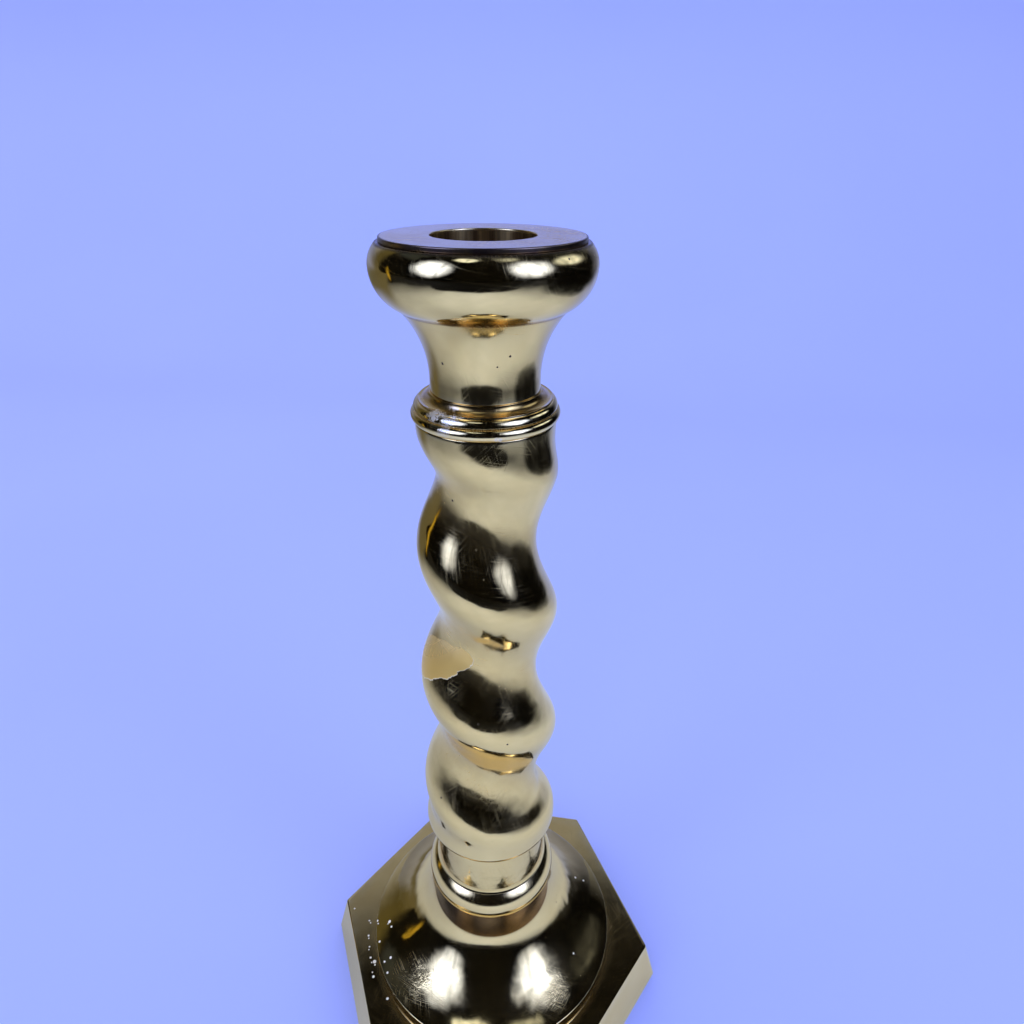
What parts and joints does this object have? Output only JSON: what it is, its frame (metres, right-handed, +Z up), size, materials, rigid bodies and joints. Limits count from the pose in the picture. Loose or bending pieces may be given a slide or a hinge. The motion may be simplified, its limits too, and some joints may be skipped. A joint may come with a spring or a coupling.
{
  "type": "barley-twist candlestick",
  "caption": "Brass candlestick with a hollow hexagonal foot, bell-shaped base, left-hand barley-twist stem, flared capital and lift-out nozzle for a dinner candle.",
  "frame": {"origin": "middle of the hexagonal foot's flat underside, on the table", "axes": "+Z up along the stem, X through two opposite corners of the hexagon, Y square to two opposite sides"},
  "size_m": [0.1204, 0.1046, 0.254],
  "materials": {
    "cast_brass": "cast, filed and polished bright, worn and lightly scratched",
    "turned_brass": "lathe turned and polished, faint turning lines, small nicks",
    "nozzle_brass": "flat rim rubbed to a satin, bore darkened by heat and wax",
    "plated_steel": "dull zinc plate, slightly stained"
  },
  "bodies": {
    "candlestick": {"hex_base": "cast_brass", "base_collar": "turned_brass", "twist_stem": "cast_brass", "upper_collar": "turned_brass", "capital": "turned_brass", "tie_rod": "plated_steel", "rod_nut": "plated_steel", "rod_washer": "plated_steel"},
    "nozzle": {"nozzle": "nozzle_brass"}
  },
  "joints": [
    {"name": "nozzle_lift", "type": "slide", "parent": "candlestick", "child": "nozzle", "axis": [0, 0, 1], "range_m": [0, 0.03]}
  ]
}
